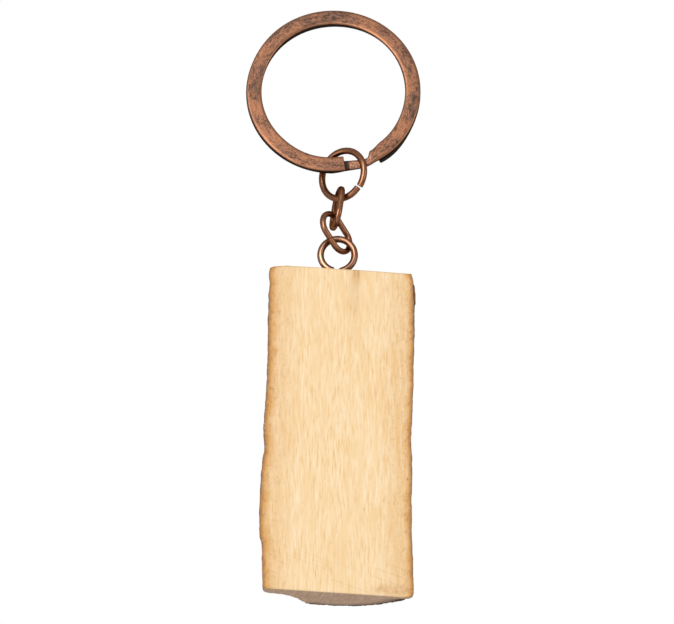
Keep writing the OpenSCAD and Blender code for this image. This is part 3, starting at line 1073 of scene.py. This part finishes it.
def build_bark(slab, material):
    """The bark shell on the round back, furrowed along the branch and ragged where it tore."""
    low, high = node_box("bark_back")
    rows = int((high[2] - low[2]) / BARK_STEP)
    points, furrow = [], []
    for i in range(rows):
        t = i / (rows - 1)
        end = -1 if i == 0 else 1 if i == rows - 1 else 0
        middle_z = low[2] * (1 - t) + high[2] * t
        torn_x = BARK_FROM_X + 0.45 * fbm((middle_z * 0.16, 0.5, 3)) + 0.18 * fbm((middle_z * 0.9, 2.5, 3))
        edge_x = slab.right_x(middle_z)
        outer, inner = [], []
        for j in range(BARK_COLUMNS):
            u = j / (BARK_COLUMNS - 1)
            x = torn_x * (1 - u) + min(edge_x - 0.25, BARK_MOST_X) * u
            inner_y = slab.back_y(x, edge_x, WOOD_R) + 0.02
            outer_y = slab.back_y(x, edge_x, BARK_R)
            steep = unit((x - SECTION_AXIS_X, outer_y - slab.axis_y))
            z = slab.between(x, t)
            around = math.atan2(steep[0], steep[1]) * BARK_R
            deep = bell(fbm((around * 0.42, z * 0.085, 1.3), 3), 0, 0.085)
            shallow = bell(fbm((around * 1.1 + 7, z * 0.22, 4.1), 3), 0, 0.10)
            rough = 0.5 - 0.5 * fbm((around * 2.1, z * 1.3, 8.2), 4)
            torn = 0.25 * (1 - float(smooth(u, 0, 0.02) * smooth(1 - u, 0, 0.04)))
            thickness = max(outer_y - inner_y, BARK_THINNEST)
            cut = min(0.40 * deep + 0.16 * shallow + 0.10 * rough + torn, thickness * 0.9)
            inset = 0.04 + 0.10 * (0.5 + 0.5 * fbm((around * 0.9, 5.5, t * 3)))
            outer.append((x - steep[0] * cut, outer_y - steep[1] * cut, z - end * inset))
            inner.append((x, inner_y, z - end * 0.02))
            furrow.append(0.4 * u if end else 1 - 0.9 * max(deep, 0.6 * shallow))
        points.extend(outer)
        points.extend(reversed(inner))
        furrow.extend([0.1 if end else 0.4] * BARK_COLUMNS)
    columns = 2 * BARK_COLUMNS
    faces = flipped(grid_faces(rows, columns))
    for start, is_top in ((0, False), ((rows - 1) * columns, True)):
        for j in range(BARK_COLUMNS - 1):
            opposite = start + columns - 2 - j
            quad = (start + j, start + j + 1, opposite, opposite + 1)
            faces.append(tuple(reversed(quad)) if is_top else quad)
    make_piece("bark_shell", points, faces, "fob", ["bark_back"], [material], {"furrow": furrow})


FLAKE_STEP = 0.16
FLAKE_SIDES = 10
FLAKE_T = 0.22


def build_edge_remnants(slab, material):
    """Thin ragged strips of inner bark that still cling to the live edges, with a flake at the right."""
    low, high = node_box("bark_edge_remnants")
    node = node_points("bark_edge_remnants")
    middle_x = node[:, 0].mean()
    points, faces = [], []
    for seed, side in enumerate((-1, 1)):
        heights = node[np.sign(node[:, 0] - middle_x) == side][:, 2]
        z_from, z_to = heights.min(), heights.max()
        start = len(points)
        rows = int((z_to - z_from) / FLAKE_STEP)
        for i in range(rows):
            t = i / (rows - 1)
            z = z_from * (1 - t) + z_to * t
            edge = slab.left_x(z) if side < 0 else slab.right_x(z)
            end = float(smooth(t, 0, 0.04) * smooth(1 - t, 0, 0.04))
            thick = (0.13 + 0.08 * fbm((z * 0.5, seed, 1))) * (0.25 + 0.75 * end)
            if side > 0:
                thick += FLAKE_T * float(smooth(z_to - z, 0.2, 0.5) * (1 - smooth(z_to - z, 3.4, 4.0)))
            y_front = low[1] + 0.10 + 0.16 * fbm((z * 1.1, seed, 4)) + 0.3 * (1 - end)
            y_back = high[1] - 0.10 + 0.16 * fbm((z * 0.8, seed, 7)) - 0.3 * (1 - end)
            for j in range(FLAKE_SIDES):
                a = 2 * math.pi * j / FLAKE_SIDES
                x = edge + side * (thick * 0.5 * (1 + math.cos(a)) - 0.02)
                y = (y_front + y_back) / 2 + (y_back - y_front) / 2 * math.sin(a)
                points.append((x, y, z))
        strip = closed_tube(rows, FLAKE_SIDES, start)
        faces += flipped(strip) if side < 0 else strip
    make_piece("inner_bark_flakes", points, faces, "fob", ["bark_edge_remnants"],
               [material])


SPLINTERS = (  # below the slab's top, length, lean up, curl
    (12.6, 0.7, 0.4, 0.2), (19.7, 0.6, -0.3, 0.1), (28.3, 1.1, 0.9, -0.3), (28.9, 0.8, 0.5, 0.3),
    (29.6, 1.2, -0.7, 0.3), (30.4, 0.7, -0.2, -0.4), (32.2, 0.9, 0.8, 0.2), (5.2, 0.6, 0.5, 0.3),
)
SPLINTER_R = 0.045
SPLINTER_SIDES = 6
SPLINTER_ROWS = 8


def build_splinters(slab, material):
    """Whiskers of torn wood along the left live edge."""
    points, faces = [], []
    top = node_box("wood_fob")[1][2]
    for below, length, lean, curl in SPLINTERS:
        z = top - below
        root = np.array([slab.left_x(z) + 0.25, slab.front_y + 0.03, z])
        start = len(points)
        for i in range(SPLINTER_ROWS):
            t = i / (SPLINTER_ROWS - 1)
            angle = lean + curl * t
            middle = root + length * t * np.array([-0.28 * math.cos(angle), -0.02, 0.75 * math.sin(angle)])
            radius = SPLINTER_R * (1 - 0.85 * t)
            for j in range(SPLINTER_SIDES):
                a = 2 * math.pi * j / SPLINTER_SIDES
                around = np.array([math.sin(a) * 0.8, math.cos(a) * 0.5, math.sin(a)])
                points.append(middle + radius * around)
        faces += flipped(closed_tube(SPLINTER_ROWS, SPLINTER_SIDES, start))
    make_piece("edge_splinters", points, faces, "fob", [], [material])


# ---------------------------------------------------------------- studio

CAMERA_LENS = 200
CAMERA_DISTANCE = 0.630
CAMERA_TILT = 20
AIM_BELOW_MIDDLE = 0.00234
AMBIENT = 0.44
FLOOR_DROP = 0.50
LIGHTS = (  # name, place, width and height in metres, power
    ("key", (-0.33, -0.93, 0.06), (0.50, 0.70), 4.9),
    ("top_card", (0.02, -0.92, 0.40), (0.40, 0.30), 0.8),
    ("left_card", (-0.80, -0.52, -0.28), (0.40, 0.50), 1.1),
    ("fill", (0.80, -0.60, -0.05), (0.50, 0.50), 1.0),
)


def add_area_light(name, place, size, power, aim):
    data = bpy.data.lights.new(name, "AREA")
    data.shape = "RECTANGLE"
    data.size, data.size_y = size
    data.energy = power
    light = bpy.data.objects.new(name, data)
    bpy.context.scene.collection.objects.link(light)
    light.location = place
    light.rotation_mode = "QUATERNION"
    light.rotation_quaternion = (Vector(aim) - Vector(place)).to_track_quat("-Z", "Y")


def build_world():
    """White to the camera, and a softer white as light on the object."""
    world = bpy.data.worlds.new("studio")
    bpy.context.scene.world = world
    world.use_nodes = True
    tree = world.node_tree
    tree.nodes.clear()
    mix = tree.nodes.new("ShaderNodeMixShader")
    for slot, strength in ((1, AMBIENT), (2, 1.0)):
        background = tree.nodes.new("ShaderNodeBackground")
        background.inputs["Color"].default_value = (1, 1, 1, 1)
        background.inputs["Strength"].default_value = strength
        tree.links.new(background.outputs[0], mix.inputs[slot])
    path = tree.nodes.new("ShaderNodeLightPath")
    out = tree.nodes.new("ShaderNodeOutputWorld")
    tree.links.new(path.outputs["Is Camera Ray"], mix.inputs[0])
    tree.links.new(mix.outputs[0], out.inputs["Surface"])


def build_floor(z):
    """A plain pale floor well below the hanging keychain."""
    half = 3.0
    mesh = bpy.data.meshes.new("floor")
    corners = [(-half, -half, z), (half, -half, z), (half, half, z), (-half, half, z)]
    mesh.from_pydata(corners, [], [(0, 1, 2, 3)])
    floor = bpy.data.objects.new("floor", mesh)
    bpy.context.scene.collection.objects.link(floor)
    n = Nodes("pale_floor")
    grey = n.ramp(n.noise(30, 3, 0.5), [(0.3, 0.80), (0.7, 0.84)])
    mesh.materials.append(n.finish(grey, None, None, Roughness=0.9))


def build_camera(aim):
    """Looks up at the hanging keychain from in front, with a long lens."""
    data = bpy.data.cameras.new("camera")
    data.lens = CAMERA_LENS
    data.sensor_width = 36
    data.clip_start = 0.05
    camera = bpy.data.objects.new("camera", data)
    bpy.context.scene.collection.objects.link(camera)
    tilt = math.radians(CAMERA_TILT)
    look = Vector((0, math.cos(tilt), math.sin(tilt)))
    camera.location = Vector(aim) - look * CAMERA_DISTANCE
    camera.rotation_mode = "QUATERNION"
    camera.rotation_quaternion = look.to_track_quat("-Z", "Y")
    bpy.context.scene.camera = camera


# ---------------------------------------------------------------- the keychain

ring_metal = antique_copper("antique_copper_band", 0.45, 0.70, 0.34, 0.50, 0.9, 0.25, COPPER_BRIGHT)
chain_metal = antique_copper("antique_copper_wire", 0.55, 0.85, 0.26, 0.38, 0.3, 0.08, COPPER_BRIGHT)
eye_metal = antique_copper("antique_copper_eye", 0.48, 0.75, 0.24, 0.36, 0.4, 0.08, COPPER_PALE)
build_split_ring(ring_metal)
build_jump_ring(chain_metal)
build_link("upper_link", "link_one", chain_metal, 11)
build_link("lower_link", "link_two", chain_metal, 23)
build_screw_eye(eye_metal)

wood_front = pale_wood_front()
slab = SlabOutline()
build_wood(slab, [wood_front, end_grain(), split_wood()])
build_bark(slab, dry_bark())
build_edge_remnants(slab, inner_bark())
build_splinters(slab, wood_front)

cad_low, cad_high = cad_box
aim = (0.0, 0.0, (cad_low.z + cad_high.z) / 2 - AIM_BELOW_MIDDLE)
build_camera(aim)
build_world()
build_floor(cad_low.z - FLOOR_DROP)
for name, place, size, power in LIGHTS:
    add_area_light(name, place, size, power, aim)
bpy.context.scene.view_settings.view_transform = "Standard"
